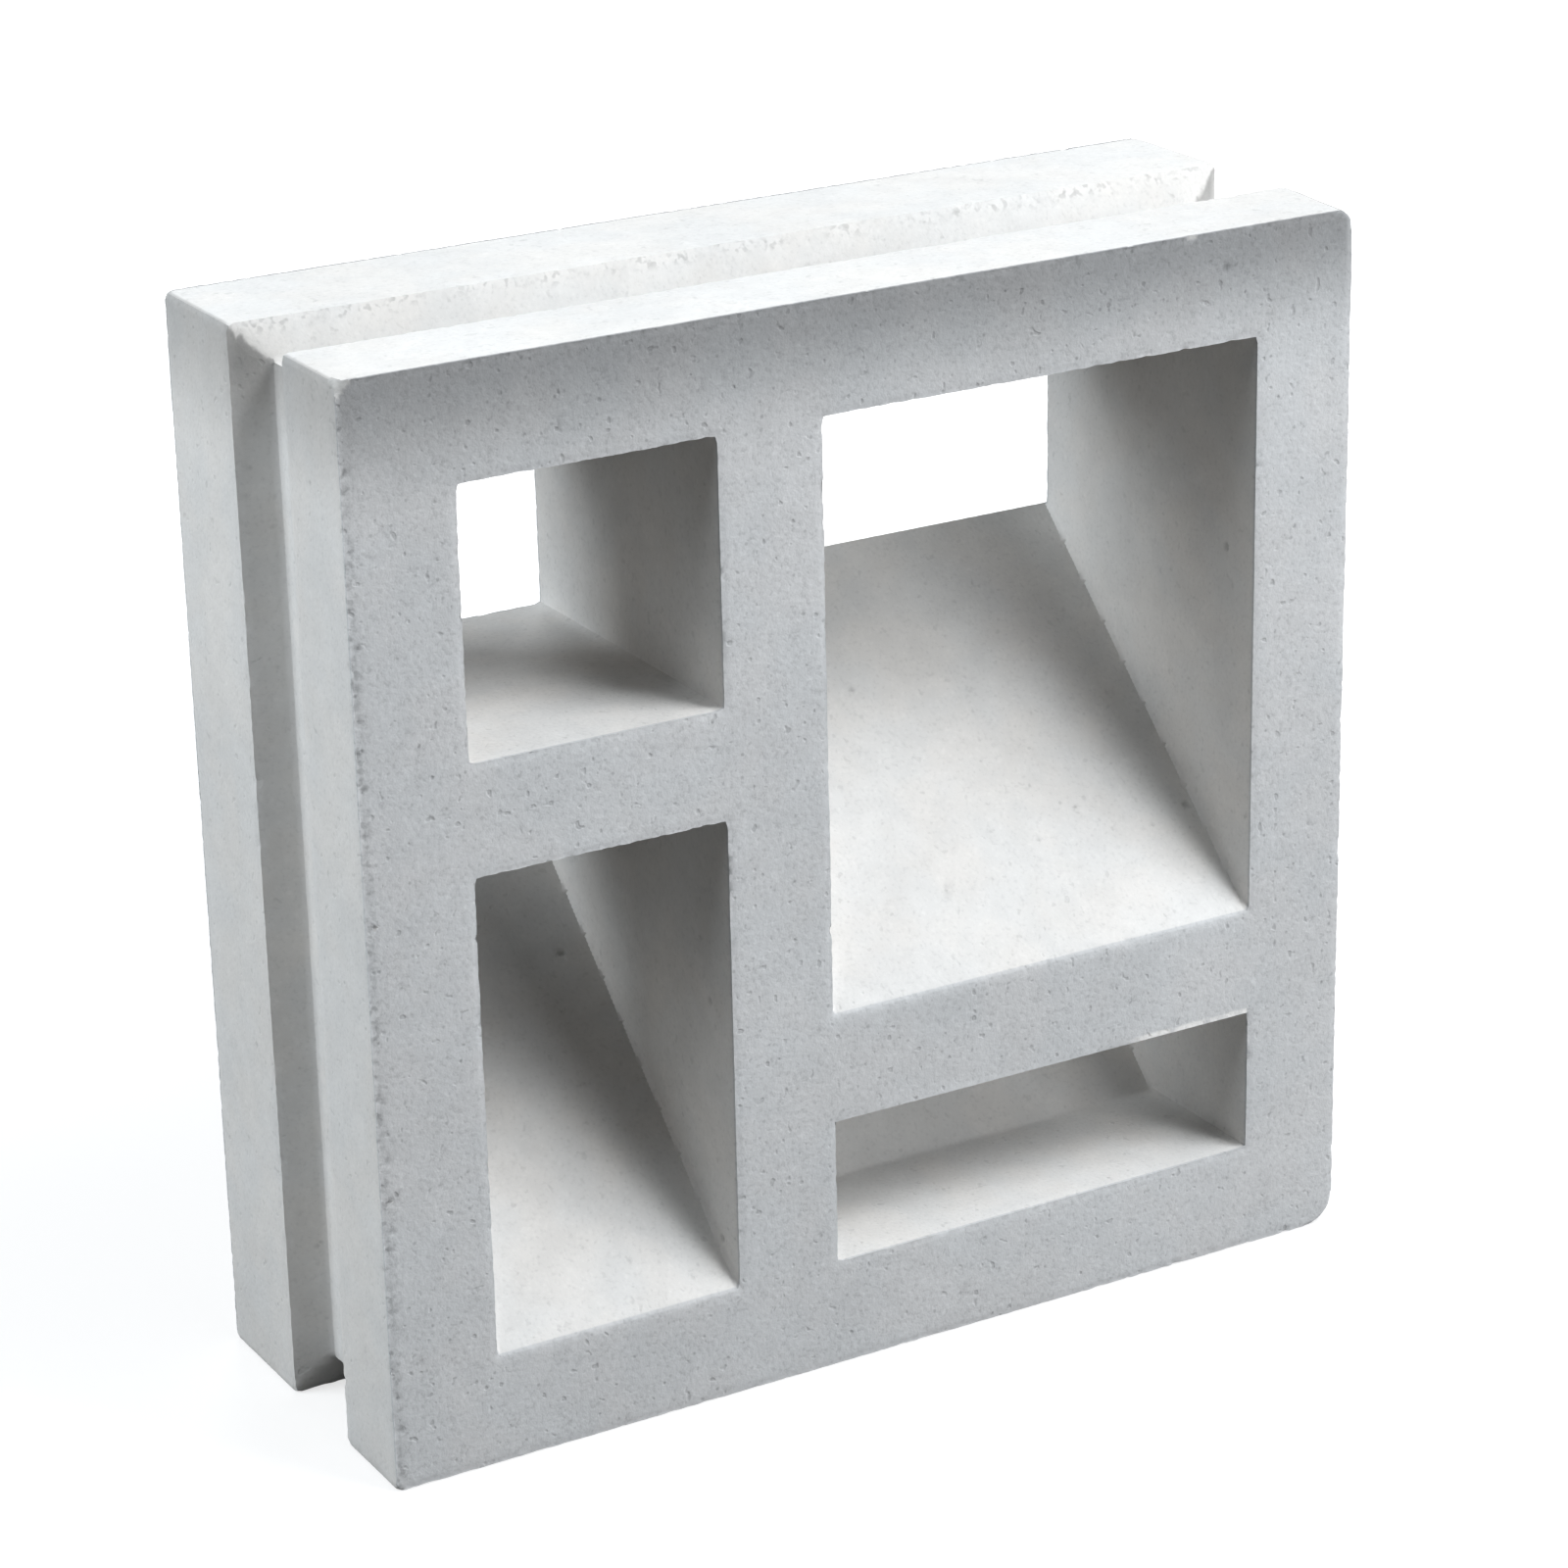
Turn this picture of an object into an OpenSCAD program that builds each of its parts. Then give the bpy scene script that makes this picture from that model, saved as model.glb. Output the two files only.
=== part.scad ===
// Cast concrete breeze block: four openings in a rim, sloped sills that shed rain, and a mortar
// groove round the edge. X runs across the face, Y from the face to the back and Z up, in millimetres,
// and the origin is the middle of the bed that the block stands on.

/* [Block] */
// Width of the block across its face
block_w = 290; // [230:1:400]
// Height of the block
block_h = 290; // [230:1:400]
// Depth of the block from its face to its back
block_d = 100; // [80:1:150]
// Radius of the block's four corners, seen on the face
corner_r = 3; // [1:0.5:20]

/* [Openings on the face] */
// Width of the rim between the edge of the block and the openings
rim_w = 30; // [20:1:40]
// Width of the bars between the openings
bar_w = 30; // [15:1:40]
// Width of the two openings on the left
left_w = 70; // [40:1:100]
// Height of the straight opening, upper left
straight_h = 70; // [40:1:100]
// Height of the low slot, lower right
slot_h = 40; // [20:1:80]

/* [Sloped sills] */
// Height of the lower left opening at the back, above the top of its sill
left_back_h = 40; // [10:1:100]
// Depth of the level part of the slot's sill, before it slopes
slot_level_d = 45; // [10:1:70]

/* [Mortar groove round the edge] */
// Thickness of the flange between the face and the groove
face_flange = 30; // [20:1:45]
// Width of the groove at its mouth
groove_w = 32; // [16:1:45]
// Depth of the groove
groove_depth = 10; // [4:0.5:15]
// How far each side of the groove leans in from mouth to floor
groove_lean = 4; // [0:0.5:7]

/* [Hidden] */
$fn = 96;

// How far a cutting shape runs past the surface that it cuts
over = 5;

half_w = block_w / 2;
face_y = -block_d / 2;
back_y = block_d / 2;

// Openings: left edge and width of each column, then the height of each sill and lintel at the face
left_x = rim_w - half_w;
right_x = left_x + left_w + bar_w;
right_w = half_w - rim_w - right_x;
low_sill_z = rim_w;
top_lintel_z = block_h - rim_w;
straight_sill_z = top_lintel_z - straight_h;
left_lintel_z = straight_sill_z - bar_w;
slot_lintel_z = low_sill_z + slot_h;
right_sill_z = slot_lintel_z + bar_w;

// Rise of every sloped sill for each millimetre of depth
sill_slope = (left_lintel_z - left_back_h - low_sill_z) / block_d;

// Mortar groove, measured along the depth of the block
groove_front_y = face_y + face_flange;
groove_rear_y = groove_front_y + groove_w;
lean_slope = groove_lean / groove_depth;

// Height at depth y of a sloped line that leaves the face at height z
function sloped_z(z, y) = z + sill_slope * (y - face_y);

// Side profiles of the openings, as points of depth and height, that run past the face and the back
function straight_profile(sill_z, lintel_z) = [
    [face_y - over, sill_z],
    [back_y + over, sill_z],
    [back_y + over, lintel_z],
    [face_y - over, lintel_z]
];

function louvred_profile(sill_z, lintel_z) = [
    [face_y - over, sloped_z(sill_z, face_y - over)],
    [back_y + over, sloped_z(sill_z, back_y + over)],
    [back_y + over, lintel_z],
    [face_y - over, lintel_z]
];

// The slot has a level sill behind the face, and its ceiling is the underside of the sloped blade above
function slot_profile(sill_z, lintel_z) = [
    [face_y - over, sill_z],
    [face_y + slot_level_d, sill_z],
    [back_y + over, sloped_z(sill_z, back_y + over - slot_level_d)],
    [back_y + over, sloped_z(lintel_z, back_y + over)],
    [face_y - over, sloped_z(lintel_z, face_y - over)]
];

// Blank: the square outline with rounded corners, cast to the full depth
module corner_waste() {
    difference() {
        translate([-over, -over])
            square(corner_r + over);
        translate([corner_r, corner_r])
            circle(corner_r);
    }
}

module outline() {
    difference() {
        translate([-half_w, 0])
            square([block_w, block_h]);
        for (side = [0, 1], end = [0, 1])
            translate([(2 * side - 1) * half_w, end * block_h])
                mirror([side, 0])
                    mirror([0, end])
                        corner_waste();
    }
}

module blank() {
    translate([0, back_y, 0])
        rotate([90, 0, 0])
            linear_extrude(block_d)
                outline();
}

// One opening: a side profile carried across the width of its column
module opening(x, width, profile) {
    translate([x, 0, 0])
        rotate([90, 0, 90])
            linear_extrude(width)
                polygon(profile);
}

// Groove along one edge: sides that lean in to a flat floor, with the mouth on the plane z = 0
module groove_run(length) {
    translate([-length / 2, 0, 0])
        rotate([90, 0, 90])
            linear_extrude(length)
                polygon([
                    [groove_front_y - lean_slope * over, -over],
                    [groove_rear_y + lean_slope * over, -over],
                    [groove_rear_y - groove_lean, groove_depth],
                    [groove_front_y + groove_lean, groove_depth]
                ]);
}

module mortar_groove() {
    for (end = [0, 1])
        translate([0, 0, end * block_h])
            mirror([0, 0, end])
                groove_run(block_w + 2 * over);
    for (side = [-1, 1])
        translate([side * half_w, 0, block_h / 2])
            rotate([0, -90 * side, 0])
                groove_run(block_h + 2 * over);
}

module breeze_block() {
    color("#bbbcba")
        difference() {
            blank();
            mortar_groove();
            opening(left_x, left_w, straight_profile(straight_sill_z, top_lintel_z));
            opening(left_x, left_w, louvred_profile(low_sill_z, left_lintel_z));
            opening(right_x, right_w, louvred_profile(right_sill_z, top_lintel_z));
            opening(right_x, right_w, slot_profile(low_sill_z, slot_lintel_z));
        }
}

breeze_block();
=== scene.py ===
import math

import bmesh
import bpy
import numpy as np
from mathutils import Matrix, Vector, kdtree, noise
from mathutils.bvhtree import BVHTree


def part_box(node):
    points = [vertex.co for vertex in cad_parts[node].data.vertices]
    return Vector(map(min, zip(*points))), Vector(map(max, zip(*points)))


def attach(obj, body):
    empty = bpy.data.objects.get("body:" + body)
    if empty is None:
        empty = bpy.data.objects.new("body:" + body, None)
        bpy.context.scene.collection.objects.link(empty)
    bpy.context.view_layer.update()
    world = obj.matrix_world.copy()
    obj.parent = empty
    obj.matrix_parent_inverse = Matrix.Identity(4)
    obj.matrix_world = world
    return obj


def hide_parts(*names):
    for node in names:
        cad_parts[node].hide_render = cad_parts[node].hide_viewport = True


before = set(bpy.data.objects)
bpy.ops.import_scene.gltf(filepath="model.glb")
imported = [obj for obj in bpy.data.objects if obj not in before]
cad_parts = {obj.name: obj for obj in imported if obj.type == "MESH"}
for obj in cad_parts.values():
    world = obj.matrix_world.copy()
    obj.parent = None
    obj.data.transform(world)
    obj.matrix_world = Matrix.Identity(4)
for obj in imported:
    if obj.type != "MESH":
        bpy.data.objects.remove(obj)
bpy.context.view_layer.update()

# The block is one casting of fine concrete, tamped semi-dry into a steel mould and turned out green.
# The mould gives it flat sides, sloped sills and sharp arrises. Sand and small air holes show in the
# struck face, and handling has crumbled the arrises and worn the corners on the right.
MM = 0.001
block_low, block_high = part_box("breeze_block")
face_y = block_low.y
left_x = block_low.x
right_x = block_high.x
bed_z = block_low.z
top_z = block_high.z
chance = np.random.RandomState(41)

# Corners of the outline: the frame's radius, the small one that the mould left, and the two that wear has
# opened on the right of the face
frame_radius = 3 * MM
moulded_radius = 1.3 * MM
upper_worn_radius = 5 * MM
lower_worn_radius = 8.5 * MM
touch = 0.1 * MM


def reshape_corners(shell):
    """Gives each corner of the outline its own radius, and returns the points along the corners' ridges."""
    ridge = set()
    middle_z = (bed_z + top_z) / 2
    for vertex in shell.verts:
        side, edge_x = (1, right_x) if vertex.co.x > 0 else (-1, left_x)
        end, edge_z = (1, top_z) if vertex.co.z > middle_z else (-1, bed_z)
        across = (vertex.co.x - edge_x) * side + frame_radius
        along = (vertex.co.z - edge_z) * end + frame_radius
        if across < -touch or along < -touch:
            continue
        radius = moulded_radius
        if side == 1 and vertex.co.y < face_y + touch:
            radius = upper_worn_radius if end == 1 else lower_worn_radius
        vertex.co.x = edge_x + side * radius * (across / frame_radius - 1)
        vertex.co.z = edge_z + end * radius * (along / frame_radius - 1)
        if abs(across - along) < touch:
            ridge.add(vertex)
    return ridge


weld_distance = 0.01 * MM
shell = bmesh.new()
shell.from_mesh(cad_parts["breeze_block"].data)
bmesh.ops.remove_doubles(shell, verts=shell.verts, dist=weld_distance)
corner_ridge = reshape_corners(shell)
shell.normal_update()

# Arrises: points along every sharp outward edge, and along the ridges of the corners. The thin edges of the
# sloped blades are kept apart, each point with the way that it points out
arris_angle = math.radians(35)
blade_angle = math.radians(110)
arris_step = 0.5 * MM
arris_points = []
blade_points = []
for edge in shell.edges:
    turn = edge.calc_face_angle() if edge.is_manifold and edge.is_convex else 0
    if turn < arris_angle and not corner_ridge.issuperset(edge.verts):
        continue
    start, end = (vertex.co for vertex in edge.verts)
    steps = max(1, round(edge.calc_length() / arris_step))
    row = [start.lerp(end, step / steps) for step in range(steps + 1)]
    if turn > blade_angle:
        way = edge.link_faces[0].normal + edge.link_faces[1].normal
        blade_points += [(point, way) for point in row]
    else:
        arris_points += row
arris_tree = kdtree.KDTree(len(arris_points))
for index, point in enumerate(arris_points):
    arris_tree.insert(point, index)
arris_tree.balance()

# Fine mesh: the shell cut into millimetre cells, with each point put back on the moulded surface
cell_size = 1.0 * MM
shell_surface = BVHTree.FromBMesh(shell)
block_mesh = bpy.data.meshes.new("concrete_block")
shell.to_mesh(block_mesh)
shell.free()
block = bpy.data.objects.new("concrete_block", block_mesh)
bpy.context.scene.collection.objects.link(block)


def apply_modifiers(piece):
    """Puts the piece's modifiers into its mesh."""
    seen = piece.evaluated_get(bpy.context.evaluated_depsgraph_get())
    mesh = bpy.data.meshes.new_from_object(seen)
    piece.modifiers.clear()
    spare = piece.data
    piece.data = mesh
    bpy.data.meshes.remove(spare)
    mesh.name = piece.name
    return mesh


cells = block.modifiers.new("cells", "REMESH")
cells.mode = "VOXEL"
cells.voxel_size = cell_size
block_mesh = apply_modifiers(block)


def read_points(collection, field):
    """One row of three numbers for each entry of a mesh collection."""
    values = np.empty(len(collection) * 3, np.float32)
    collection.foreach_get(field, values)
    return values.reshape(-1, 3).astype(float)


outward = read_points(block_mesh.vertex_normals, "vector")
points = read_points(block_mesh.vertices, "co")
points = np.array([shell_surface.find_nearest(point)[0] for point in points])


def mottle(grain, shift):
    """Smooth noise from 0 to 1 at each point, in patches as wide as grain. Each shift gives another noise."""
    offset = Vector((shift, 2 * shift, 3 * shift))
    found = [noise.noise(Vector(point) / grain + offset) for point in points]
    return np.clip(np.array(found) * 0.5 + 0.5, 0, 1)


# Crumbled arrises: a narrow blunt band everywhere, and ragged stretches where grains have fallen out
arris_band = 2 * MM
arris_blunt = 0.2 * MM
arris_ragged = 0.9 * MM
arris_fall = 1.5
fallen_grain = 2.2 * MM
ragged_stretch = 14 * MM
arris_distance = np.array([arris_tree.find(point)[2] for point in points])
near_arris = np.clip(1 - arris_distance / arris_band, 0, 1)
ragged = mottle(fallen_grain, shift=3.1) ** 2 * mottle(ragged_stretch, shift=7.7)
loss = near_arris**arris_fall * (arris_blunt + arris_ragged * ragged)

# Flat sides: the slight hollows that the mould and the tamping leave
hollow_depth = 0.15 * MM
hollow_width = 45 * MM
dimple_depth = 0.06 * MM
dimple_width = 5 * MM
loss += hollow_depth * mottle(hollow_width, shift=11.3)
loss += dimple_depth * mottle(dimple_width, shift=17.9)

# Nicks and holes are bowls with a centre, a reach, a depth and a painted shade that darkens them. Where
# chance picks a reach, an inset or a gap, it is in millimetres, and a depth is then a share of the reach
bowl_rim = 0.75
bowl_rim_swing = 0.5
bowl_rim_grain = 1.5 * MM
bowl_fall = 1.5
point_tree = kdtree.KDTree(len(points))
for index, point in enumerate(points):
    point_tree.insert(point, index)
point_tree.balance()
air_hole = np.zeros(len(points))


def hollow_out(centre, reach, depth, painted_shade):
    """Sinks a bowl with an uneven rim into the surface, and marks the painted shade that darkens it."""
    for place, index, distance in point_tree.find_range(centre, reach):
        rim = reach * (bowl_rim + bowl_rim_swing * noise.noise(place / bowl_rim_grain))
        share = max(0, 1 - (distance / rim) ** 2)
        loss[index] = max(loss[index], depth * share**bowl_fall)
        air_hole[index] = max(air_hole[index], painted_shade * share)


# Nicks scattered along all the arrises
nick_count = 160
nick_reach = (1.2, 2.6)
nick_depth = (0.2, 0.4)
nick_painted_shade = 0.1
for _ in range(nick_count):
    place = arris_points[chance.randint(len(arris_points))]
    reach = chance.uniform(*nick_reach) * MM
    hollow_out(place, reach, reach * chance.uniform(*nick_depth), nick_painted_shade)

# Row of small open holes down the left arris of the face, where the mix was left dry
row_margin = 4 * MM
row_inset = (0, 2.4)
row_reach = (1.0, 1.8)
row_depth = 0.5
row_painted_shade = (0.5, 1.1)
row_gap = (3.5, 11)
hole_z = bed_z + row_margin
while hole_z < top_z - row_margin:
    inset = chance.uniform(*row_inset) * MM
    reach = chance.uniform(*row_reach) * MM
    painted_shade = chance.uniform(*row_painted_shade)
    hollow_out(Vector((left_x + inset, face_y, hole_z)), reach, reach * row_depth, painted_shade)
    hole_z += chance.uniform(*row_gap) * MM

# Holes that stand out one by one, dark with painted shade: on the face, the sloped sills and the cheeks of
# the openings
lone_holes = [
    Vector((105, -50, 280)),
    Vector((112, -24, 123.5)),
    Vector((31, 17, 160)),
    Vector((-54, 27, 99.5)),
    Vector((-45, -41, 41)),
    Vector((-45, -38, 107)),
    Vector((115, -37, 200)),
]
lone_reach = 1.7 * MM
lone_depth = 0.7 * MM
lone_painted_shade = 1.0
for place in lone_holes:
    hollow_out(place * MM, lone_reach, lone_depth, lone_painted_shade)

# Breaks: a corner or arris is cut back to a rough plane. A fresh break is whiter than the skin
break_swing = 0.25
break_grain = 2.5 * MM
moved = np.zeros_like(points)
broken = np.zeros(len(points))


def break_off(corner, way, depth, reach, fresh):
    """Cuts a corner or arris back to a rough plane that faces way, within its reach."""
    facing = Vector(way).normalized()
    for place, index, distance in point_tree.find_range(corner, reach):
        cut = depth * (1 + break_swing * noise.noise(place / break_grain))
        proud = (place - corner).dot(facing) + cut
        if proud > 0:
            moved[index] = -proud * np.array(facing)
            loss[index] = 0
            broken[index] = fresh


blade_blunt = 0.3 * MM
blade_reach = 1.5 * MM
for place, way in blade_points:
    break_off(place, way, blade_blunt, blade_reach, fresh=0)

chipped_corner = Vector((left_x, face_y, top_z))
chip_way = (-0.6, -0.6, 0.55)
chip_depth = 2.6 * MM
chip_reach = 9 * MM
break_off(chipped_corner, chip_way, chip_depth, chip_reach, fresh=1)

top_nick = Vector((94.3 * MM, face_y, top_z))
top_nick_way = (0, -0.8, 0.6)
top_nick_depth = 0.9 * MM
top_nick_reach = 1.5 * MM
break_off(top_nick, top_nick_way, top_nick_depth, top_nick_reach, fresh=1)

# Air holes: many in the struck face and in the back, few in the smooth moulded sides
hole_count = 280
hole_reach = (0.9, 1.5)
hole_depth = (0.12, 0.3)
hole_painted_shade = (0.4, 0.9)
open_side = 0.9
moulded_share = 0.2
towards_face = np.abs(outward[:, 1])
for index in chance.randint(len(points), size=hole_count):
    if towards_face[index] > open_side or chance.uniform() < moulded_share:
        reach = chance.uniform(*hole_reach) * MM
        depth = reach * chance.uniform(*hole_depth)
        hollow_out(Vector(points[index]), reach, depth, chance.uniform(*hole_painted_shade))

points += moved - outward * loss[:, None]
block_mesh.vertices.foreach_set("co", points.astype(np.float32).ravel())
for name, values in (("air_hole", air_hole), ("broken", broken), ("crumbled", near_arris)):
    layer = block_mesh.attributes.new(name, "FLOAT", "POINT")
    layer.data.foreach_set("value", values.astype(np.float32))

# The flat sides need few triangles, so the mesh is thinned where it is flat
triangle_goal = 190000
thinning = block.modifiers.new("thinning", "DECIMATE")
thinning.ratio = triangle_goal / (2 * len(block_mesh.polygons))
block_mesh = apply_modifiers(block)
points = np.clip(read_points(block_mesh.vertices, "co"), block_low, block_high)
block_mesh.vertices.foreach_set("co", points.astype(np.float32).ravel())

# Points that have come together are joined, so that no face is left without an area
sharp_angle = math.radians(40)
joined = bmesh.new()
joined.from_mesh(block_mesh)
bmesh.ops.remove_doubles(joined, verts=joined.verts, dist=weld_distance)
joined.to_mesh(block_mesh)
joined.free()
block_mesh.update()
block_mesh.shade_smooth()
block_mesh.set_sharp_from_angle(angle=sharp_angle)

# Concrete: pale cement paste with grey and white sand, close to neutral
concrete = bpy.data.materials.new("cast_concrete")
concrete.use_nodes = True
nodes = concrete.node_tree.nodes
links = concrete.node_tree.links
surface = nodes["Principled BSDF"]
surface.inputs["Roughness"].default_value = 0.92
surface.inputs["Specular IOR Level"].default_value = 0.25
on_block = nodes.new("ShaderNodeTexCoord")
position = nodes.new("ShaderNodeSeparateXYZ")
links.new(on_block.outputs["Object"], position.inputs["Vector"])
across, inward, up = position.outputs
facing = nodes.new("ShaderNodeSeparateXYZ")
links.new(on_block.outputs["Normal"], facing.inputs["Vector"])
facing_across, facing_inward, facing_up = facing.outputs


def sand_noise(size, detail):
    """Noise with patches about as wide as size, in metres."""
    texture = nodes.new("ShaderNodeTexNoise")
    texture.inputs["Scale"].default_value = 1 / size
    texture.inputs["Detail"].default_value = detail
    links.new(on_block.outputs["Object"], texture.inputs["Vector"])
    return texture.outputs["Fac"]


def math_node(operation, first, second=None):
    """Result of one sum, where each side is a socket or a number."""
    step = nodes.new("ShaderNodeMath")
    step.operation = operation
    for socket, value in zip(step.inputs, (first, second)):
        if isinstance(value, bpy.types.NodeSocket):
            links.new(value, socket)
        elif value is not None:
            socket.default_value = value
    return step.outputs["Value"]


def both(first, *others):
    """Product of shares from 0 to 1, for what shows only where all of them do."""
    for other in others:
        first = math_node("MULTIPLY", first, other)
    return first


def either(first, *others):
    """Largest of some shares, for what shows where any of them does."""
    for other in others:
        first = math_node("MAXIMUM", first, other)
    return first


def elsewhere(share):
    """What a share leaves over."""
    return math_node("SUBTRACT", 1.0, share)


def ramp(value, low, high, at_low=0, at_high=1):
    """Carries value from the span low to high into the span at_low to at_high, held at the ends."""
    step = nodes.new("ShaderNodeMapRange")
    step.interpolation_type = "SMOOTHSTEP"
    links.new(value, step.inputs["Value"])
    step.inputs["From Min"].default_value = low
    step.inputs["From Max"].default_value = high
    step.inputs["To Min"].default_value = at_low
    step.inputs["To Max"].default_value = at_high
    return step.outputs["Result"]


def mesh_mark(name):
    """A mark that the mesh carries at each point."""
    mark = nodes.new("ShaderNodeAttribute")
    mark.attribute_name = name
    return mark.outputs["Fac"]


# The face and the back are open and greyer, with the sand bare. All other sides keep a pale smooth skin
skin_edge = 2 * MM
crumbled_depth = 2.5 * MM
open_y = -face_y - crumbled_depth
slanted, square_on = 0.75, 0.92
crumb_edge, crumb_core = 0.35, 0.65
skin_sand = 0.55
outermost = ramp(math_node("ABSOLUTE", inward), open_y - skin_edge, open_y)
faces_out = ramp(math_node("ABSOLUTE", facing_inward), slanted, square_on)
bare = both(outermost, either(faces_out, ramp(mesh_mark("crumbled"), crumb_edge, crumb_core)))
sandy = ramp(bare, 0, 1, skin_sand, 1)

# The outer sides are darker towards the top arris. In the side grooves this is stronger, as painted shade
# over the light that falls into their upper ends
rim_darkening = 0.34
rim_drop = 38 * MM
groove_painted_shade_gain = 1.5
groove_edge_x = right_x - 0.5 * MM
in_groove_x = right_x - 3 * MM
opening_edge_x = right_x - 14 * MM
from_middle = math_node("ABSOLUTE", across)
at_an_end = ramp(from_middle, opening_edge_x, opening_edge_x + skin_edge)
faces_an_end = ramp(math_node("ABSOLUTE", facing_across), 0.15, 0.3)
outer_side = either(bare, both(at_an_end, faces_an_end))
in_groove = ramp(from_middle, in_groove_x, groove_edge_x, groove_painted_shade_gain, 1)
rim_shade = ramp(up, top_z - rim_drop, top_z, 0, rim_darkening)
rim_shade = both(rim_shade, outer_side, either(in_groove, bare))

# Painted shade: the cheeks of the openings are darker below their lintels, which shade them
rim_width = 30 * MM
left_opening_width = 70 * MM
left_opening_height = 130 * MM
upper_lintel_z = top_z - rim_width
left_lintel_z = bed_z + rim_width + left_opening_height
left_bar_z = left_lintel_z + rim_width / 2
middle_bar_x = left_x + rim_width + left_opening_width + rim_width / 2
lintel_painted_shade = 0.33
upper_drop = 75 * MM
left_drop = 95 * MM
below_lintel = ramp(up, upper_lintel_z - upper_drop, upper_lintel_z, 0, lintel_painted_shade)
below_left_lintel = ramp(up, left_lintel_z - left_drop, left_lintel_z, 0, lintel_painted_shade)
left_of_bar = math_node("LESS_THAN", across, middle_bar_x)
in_left_opening = both(left_of_bar, math_node("LESS_THAN", up, left_bar_z))
cheek = both(faces_an_end, elsewhere(at_an_end))
painted_cheek_shade = both(either(below_lintel, both(below_left_lintel, in_left_opening)), cheek)

# Painted shade as well on the upper part of the sill in the lower left opening, under its lintel
sill_painted_shade = 0.27
sill_shade_start = bed_z + 35 * MM
sill_shade_end = bed_z + 100 * MM
faces_up = ramp(facing_up, 0.5, 0.6)
painted_sill_shade = ramp(up, sill_shade_start, sill_shade_end, 0, sill_painted_shade)
painted_sill_shade = both(painted_sill_shade, faces_up, elsewhere(bare), in_left_opening)
# The darker top rim and the painted shade of the cheeks and the sill, together
shaded = either(rim_shade, painted_cheek_shade, painted_sill_shade)

# Paste in soft clouds, sand as dark and pale specks, and the odd open pore
cloud_size, cloud_swing = 55 * MM, 0.03
paste_size, paste_swing = 7 * MM, 0.025
sand_size = 1.2 * MM
pore_size = 2.6 * MM
dark_grain_tone = 0.13
pale_grain_tone = 0.07
pore_tone = 0.18
air_hole_tone = 0.33
clouds = sand_noise(cloud_size, detail=2)
paste = sand_noise(paste_size, detail=3)
sand = sand_noise(sand_size, detail=2)
pores = sand_noise(pore_size, detail=1)
dark_sand = ramp(sand, 0.28, 0.46, -dark_grain_tone, 0)
pale_sand = ramp(sand, 0.56, 0.72, 0, pale_grain_tone)
pale_grain = ramp(pores, 0.64, 0.78, 0, pale_grain_tone)
open_pore = ramp(pores, 0.22, 0.34, 1, 0)
grit = math_node("ADD", math_node("ADD", dark_sand, pale_sand), pale_grain)
grit = math_node("SUBTRACT", grit, math_node("MULTIPLY", open_pore, pore_tone))
cloudy = ramp(clouds, 0.3, 0.7, 1 - cloud_swing, 1 + cloud_swing)
tone = math_node("ADD", cloudy, ramp(paste, 0.3, 0.7, -paste_swing, paste_swing))
tone = math_node("ADD", tone, both(grit, sandy))
# The nicks and holes are darkened by their painted shade
tone = math_node("SUBTRACT", tone, math_node("MULTIPLY", mesh_mark("air_hole"), air_hole_tone))

# Pinholes too small for the mesh, as round dots of painted shade of uneven strength
pinhole_spacing = 4 * MM
pinhole_core, pinhole_edge = 0.05, 0.17
pinhole_tone = 0.26
faint_pinhole = 0.15
skin_pinhole = 0.25
pinholes = nodes.new("ShaderNodeTexVoronoi")
pinholes.inputs["Scale"].default_value = 1 / pinhole_spacing
links.new(on_block.outputs["Object"], pinholes.inputs["Vector"])
pinhole = ramp(pinholes.outputs["Distance"], pinhole_core, pinhole_edge, pinhole_tone, 0)
pinhole_strength = ramp(pinholes.outputs["Color"], 0.3, 0.65, faint_pinhole, 1)
pinhole = both(pinhole, pinhole_strength, ramp(bare, 0, 1, skin_pinhole, 1))
tone = math_node("SUBTRACT", tone, pinhole)

# Dry, open grain in a narrow band down the left arris of the face, a little of it under the top arris, and
# more along the upper arrises of the top groove
dry_grain_size = 1.9 * MM
dry_grain_tone = 0.3
dry_top_share = 0.6
dry_groove_share = 0.8
dry_left = ramp(across, left_x + 0.8 * MM, left_x + 4.5 * MM, 1, 0)
dry_top = ramp(up, top_z - 4 * MM, top_z - 0.8 * MM, 0, dry_top_share)
dry_groove = ramp(up, top_z - 5 * MM, top_z - 1.5 * MM, 0, dry_groove_share)
dry_groove = both(dry_groove, faces_out, elsewhere(outermost))
dry = either(both(either(dry_left, dry_top), bare), dry_groove)
open_grain = ramp(sand_noise(dry_grain_size, detail=1), 0.36, 0.5, dry_grain_tone, 0)
open_grain = both(open_grain, ramp(paste, 0.4, 0.6, 0.2, 1))
tone = math_node("SUBTRACT", tone, both(open_grain, dry))
tone = both(tone, elsewhere(shaded))


def mix_colour(share, first, second):
    """Colour between first and second, each a socket or a colour."""
    mix = nodes.new("ShaderNodeMix")
    mix.data_type = "RGBA"
    links.new(share, mix.inputs["Factor"])
    for socket, colour in zip((mix.inputs[6], mix.inputs[7]), (first, second)):
        if isinstance(colour, bpy.types.NodeSocket):
            links.new(colour, socket)
        else:
            socket.default_value = (*colour, 1)
    return mix.outputs[2]


# Colours: a warm pale skin and a cooler, greyer face, each in two shades that lie in patches
skin_grey = (0.686, 0.678, 0.663)
skin_cream = (0.705, 0.686, 0.661)
face_cool_grey = (0.547, 0.553, 0.557)
face_grey = (0.561, 0.560, 0.560)
white_break = (0.784, 0.770, 0.747)
patch_size = 20 * MM
patches = ramp(sand_noise(patch_size, detail=2), 0.35, 0.65)
skin_colour = mix_colour(patches, skin_grey, skin_cream)
face_colour = mix_colour(patches, face_cool_grey, face_grey)
sound_colour = mix_colour(bare, skin_colour, face_colour)
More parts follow.
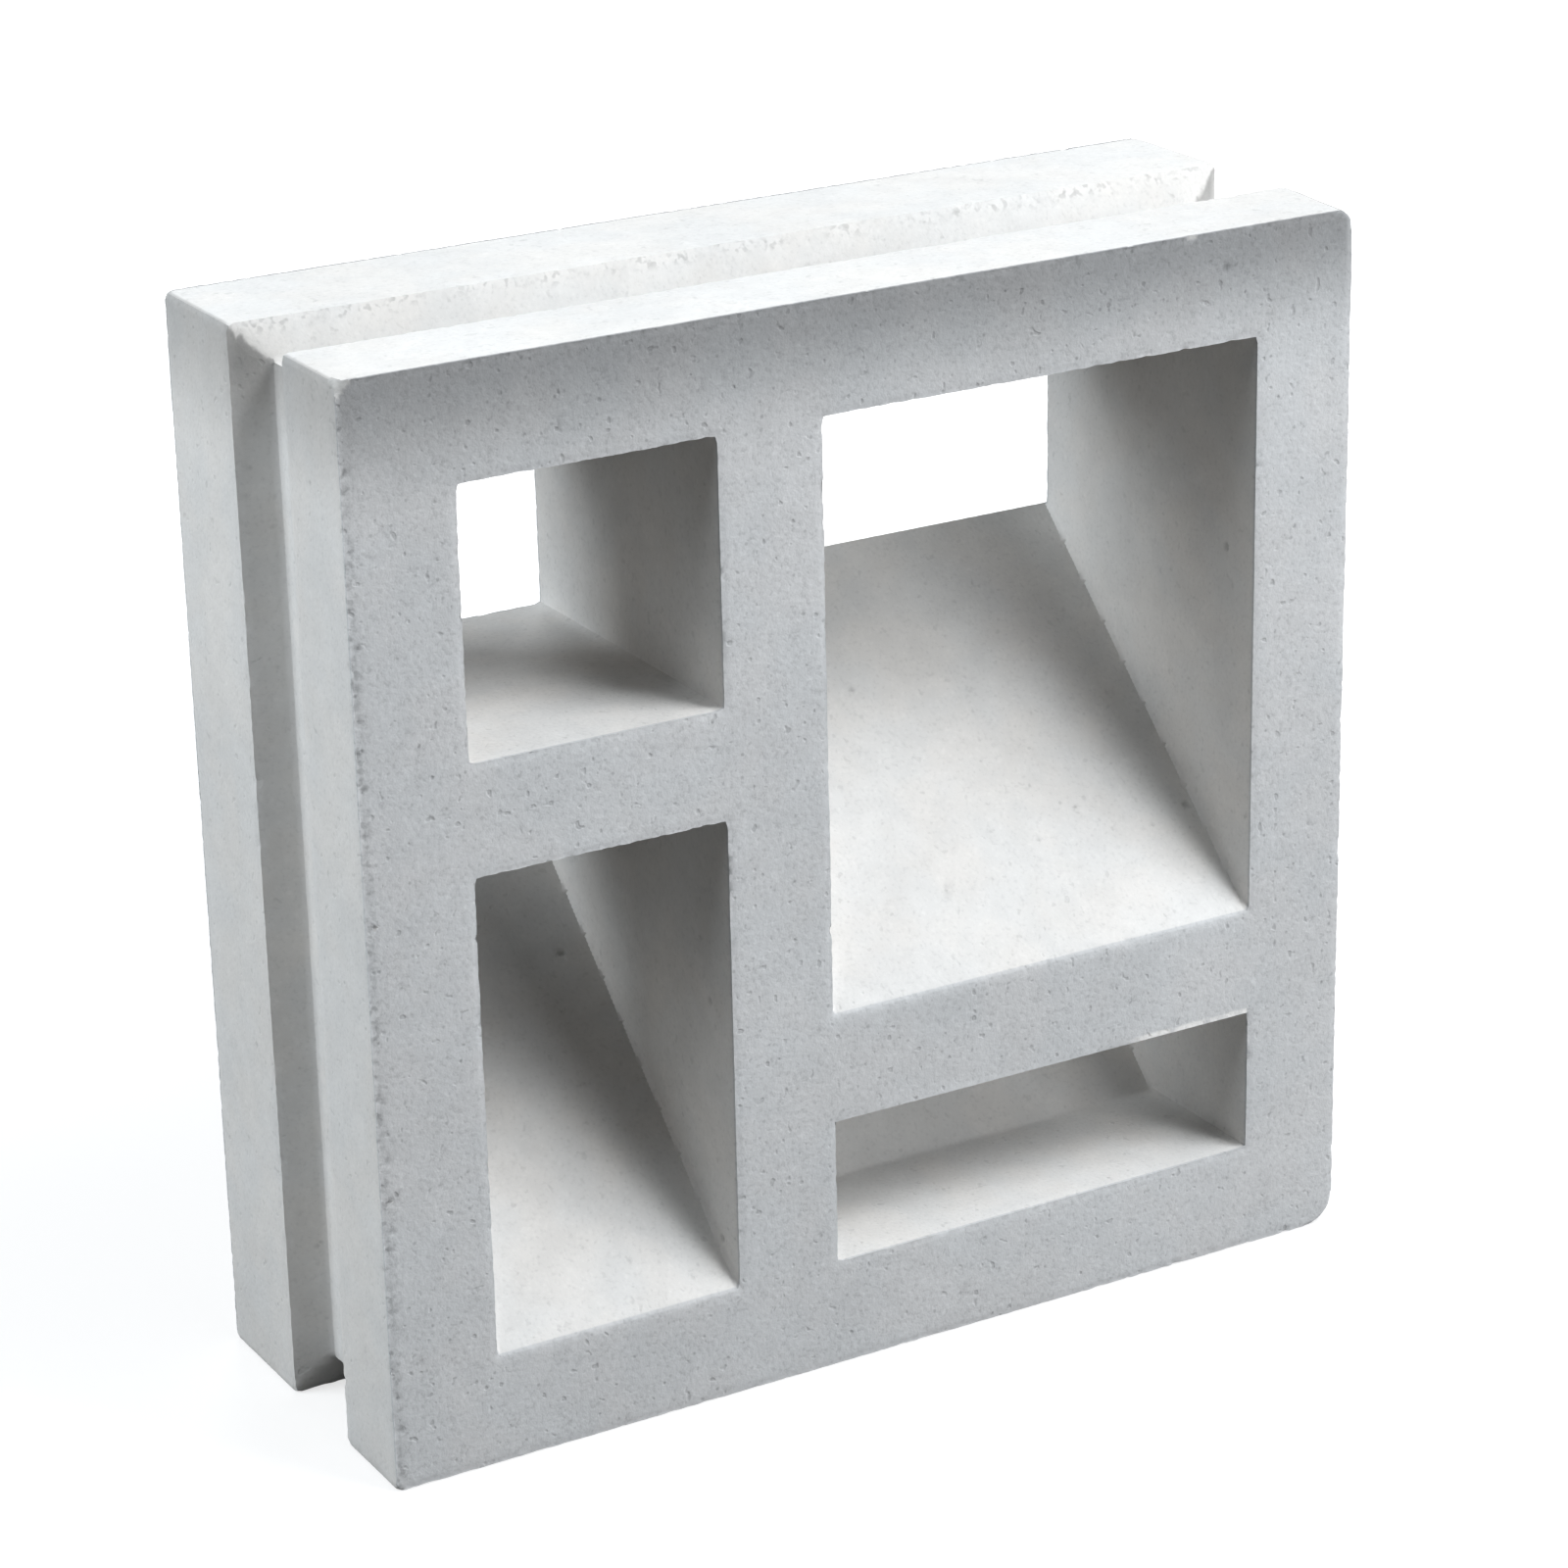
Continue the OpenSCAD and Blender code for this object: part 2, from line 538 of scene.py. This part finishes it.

# The lower arris of the right-hand bar is nearly white near its end
slot_height = 40 * MM
bar_edge_z = bed_z + rim_width + slot_height
pale_arris_bottom_z = bar_edge_z - 2 * MM
pale_arris_top_z = bar_edge_z + 2.2 * MM
pale_arris_soft_height = 1 * MM
pale_arris_start_x = 79 * MM
pale_arris_soft_length = 4 * MM
pale_arris_end_x = right_x - rim_width
on_face = both(outermost, math_node("LESS_THAN", inward, 0))
patchy = ramp(paste, 0.36, 0.5, 0.3, 1)
pale_arris_height = ramp(up, pale_arris_top_z - pale_arris_soft_height, pale_arris_top_z, 1, 0)
pale_arris_height = both(pale_arris_height, math_node("GREATER_THAN", up, pale_arris_bottom_z))
pale_arris_run = ramp(across, pale_arris_start_x - pale_arris_soft_length, pale_arris_start_x + pale_arris_soft_length)
pale_arris_run = both(pale_arris_run, math_node("LESS_THAN", across, pale_arris_end_x))
white = either(both(on_face, patchy, pale_arris_height, pale_arris_run), mesh_mark("broken"))

shade = nodes.new("ShaderNodeVectorMath")
shade.operation = "SCALE"
links.new(mix_colour(white, sound_colour, white_break), shade.inputs["Vector"])
links.new(tone, shade.inputs["Scale"])
links.new(shade.outputs["Vector"], surface.inputs["Base Color"])

# Relief of the sand and the pores, which the mesh is too coarse for
relief = nodes.new("ShaderNodeBump")
relief.inputs["Distance"].default_value = 0.35 * MM
relief.inputs["Strength"].default_value = 0.42
links.new(both(math_node("SUBTRACT", sand, open_pore), sandy), relief.inputs["Height"])
links.new(relief.outputs["Normal"], surface.inputs["Normal"])

block_mesh.materials.clear()
block_mesh.materials.append(concrete)
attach(block, "root")
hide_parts("breeze_block")

# The floor is a wide sheet of white card. It throws light back onto the block, looks white where the
# light falls on it, and keeps the soft shadow under the block.
floor_half = 6.0
floor_mesh = bpy.data.meshes.new("floor")
floor_corners = [(-1, -1), (1, -1), (1, 1), (-1, 1)]
floor_mesh.from_pydata([(x * floor_half, y * floor_half, bed_z) for x, y in floor_corners], [], [range(4)])
floor = bpy.data.objects.new("floor", floor_mesh)
bpy.context.scene.collection.objects.link(floor)

card_colour = (0.16, 0.157, 0.153)
card_seen_colour = (0.35, 0.35, 0.35)
shadow_reach = 0.25
white_from = 0.8
glow_at_block = 0.7
card = bpy.data.materials.new("white_card")
card.use_nodes = True
nodes = card.node_tree.nodes
links = card.node_tree.links
nodes.clear()
card_surface = nodes.new("ShaderNodeBsdfDiffuse")
card_surface.inputs["Color"].default_value = (*card_colour, 1)
card_seen = nodes.new("ShaderNodeBsdfDiffuse")
card_seen.inputs["Color"].default_value = (*card_seen_colour, 1)
card_glow = nodes.new("ShaderNodeEmission")
from_block = nodes.new("ShaderNodeVectorMath")
from_block.operation = "LENGTH"
links.new(nodes.new("ShaderNodeTexCoord").outputs["Object"], from_block.inputs["Vector"])
glow = ramp(from_block.outputs["Value"], shadow_reach, white_from, glow_at_block, 1)
links.new(glow, card_glow.inputs["Strength"])
card_bright = nodes.new("ShaderNodeAddShader")
links.new(card_seen.outputs["BSDF"], card_bright.inputs[0])
links.new(card_glow.outputs["Emission"], card_bright.inputs[1])


def seen_directly():
    """1 for what the camera sees, itself or in gloss and glass, and 0 for light that bounces."""
    path = nodes.new("ShaderNodeLightPath")
    total = math_node("ADD", path.outputs["Is Camera Ray"], path.outputs["Is Glossy Ray"])
    return math_node("MINIMUM", math_node("ADD", total, path.outputs["Is Transmission Ray"]), 1.0)


card_mix = nodes.new("ShaderNodeMixShader")
links.new(seen_directly(), card_mix.inputs["Fac"])
links.new(card_surface.outputs["BSDF"], card_mix.inputs[1])
links.new(card_bright.outputs["Shader"], card_mix.inputs[2])
card_output = nodes.new("ShaderNodeOutputMaterial")
links.new(card_mix.outputs["Shader"], card_output.inputs["Surface"])
floor_mesh.materials.append(card)

# The studio is a dim white room with six softboxes round the block: a big key in front on the right, low
# fills in front and on the right, a wide and a high one on the left and a small one behind. The camera's
# own side stays dark, so the cheeks of the openings fall into shade.
room_level = 0.01
world = bpy.data.worlds.new("studio")
world.use_nodes = True
bpy.context.scene.world = world
nodes = world.node_tree.nodes
links = world.node_tree.links
room = nodes["Background"]
room.inputs["Color"].default_value = (1, 1, 1, 1)
links.new(ramp(seen_directly(), 0, 1, room_level, 1), room.inputs["Strength"])

block_middle = (block_low + block_high) / 2


def outward_way(azimuth, elevation):
    """Way out from the block, with azimuth 0 straight out of the face and 90 out of its right side."""
    turn = math.radians(azimuth)
    rise = math.radians(elevation)
    return Vector((math.sin(turn) * math.cos(rise), -math.cos(turn) * math.cos(rise), math.sin(rise)))


def softbox(name, azimuth, elevation, distance, width, height, power, colour):
    """A soft panel lamp that faces the middle of the block."""
    lamp = bpy.data.lights.new(name, "AREA")
    lamp.shape = "RECTANGLE"
    lamp.size = width
    lamp.size_y = height
    lamp.energy = power
    lamp.color = colour
    way = outward_way(azimuth, elevation)
    panel = bpy.data.objects.new(name, lamp)
    panel.location = block_middle + way * distance
    panel.rotation_euler = (-way).to_track_quat("-Z", "Y").to_euler()
    bpy.context.scene.collection.objects.link(panel)


daylight = (0.94, 0.97, 1)
cool_daylight = (0.898, 0.955, 1)
softbox("key_softbox", azimuth=41, elevation=49, distance=1.7, width=0.8, height=0.7, power=25.8,
        colour=daylight)
softbox("low_fill", azimuth=25, elevation=8, distance=2.0, width=0.8, height=0.8, power=14.4,
        colour=daylight)
softbox("side_fill", azimuth=75, elevation=8, distance=2.0, width=0.8, height=0.8, power=13.4,
        colour=daylight)
softbox("left_softbox", azimuth=-110, elevation=29, distance=1.8, width=0.9, height=0.7, power=24.7,
        colour=cool_daylight)
softbox("high_left_softbox", azimuth=-70, elevation=57, distance=1.7, width=0.5, height=0.5, power=5.8,
        colour=cool_daylight)
softbox("rear_softbox", azimuth=160, elevation=36, distance=1.7, width=0.5, height=0.5, power=7.2,
        colour=daylight)

# The camera stands in front on the left, a little above the block, and leans slightly to one side. It has a
# long lens, so the block's edges run nearly parallel.
camera_lens = 107.3
camera_distance = 1.2331
camera_azimuth = -29.64
camera_elevation = 20.79
camera_roll = math.radians(-1.293)
camera_data = bpy.data.cameras.new("camera")
camera_data.lens = camera_lens
camera_data.sensor_width = 36
camera = bpy.data.objects.new("camera", camera_data)
bpy.context.scene.collection.objects.link(camera)
towards_camera = outward_way(camera_azimuth, camera_elevation)
level = (-towards_camera).to_track_quat("-Z", "Y").to_matrix()
camera.rotation_euler = (level @ Matrix.Rotation(camera_roll, 3, "Z")).to_euler()
camera.location = block_middle + towards_camera * camera_distance
bpy.context.scene.camera = camera
bpy.context.scene.view_settings.view_transform = "Standard"
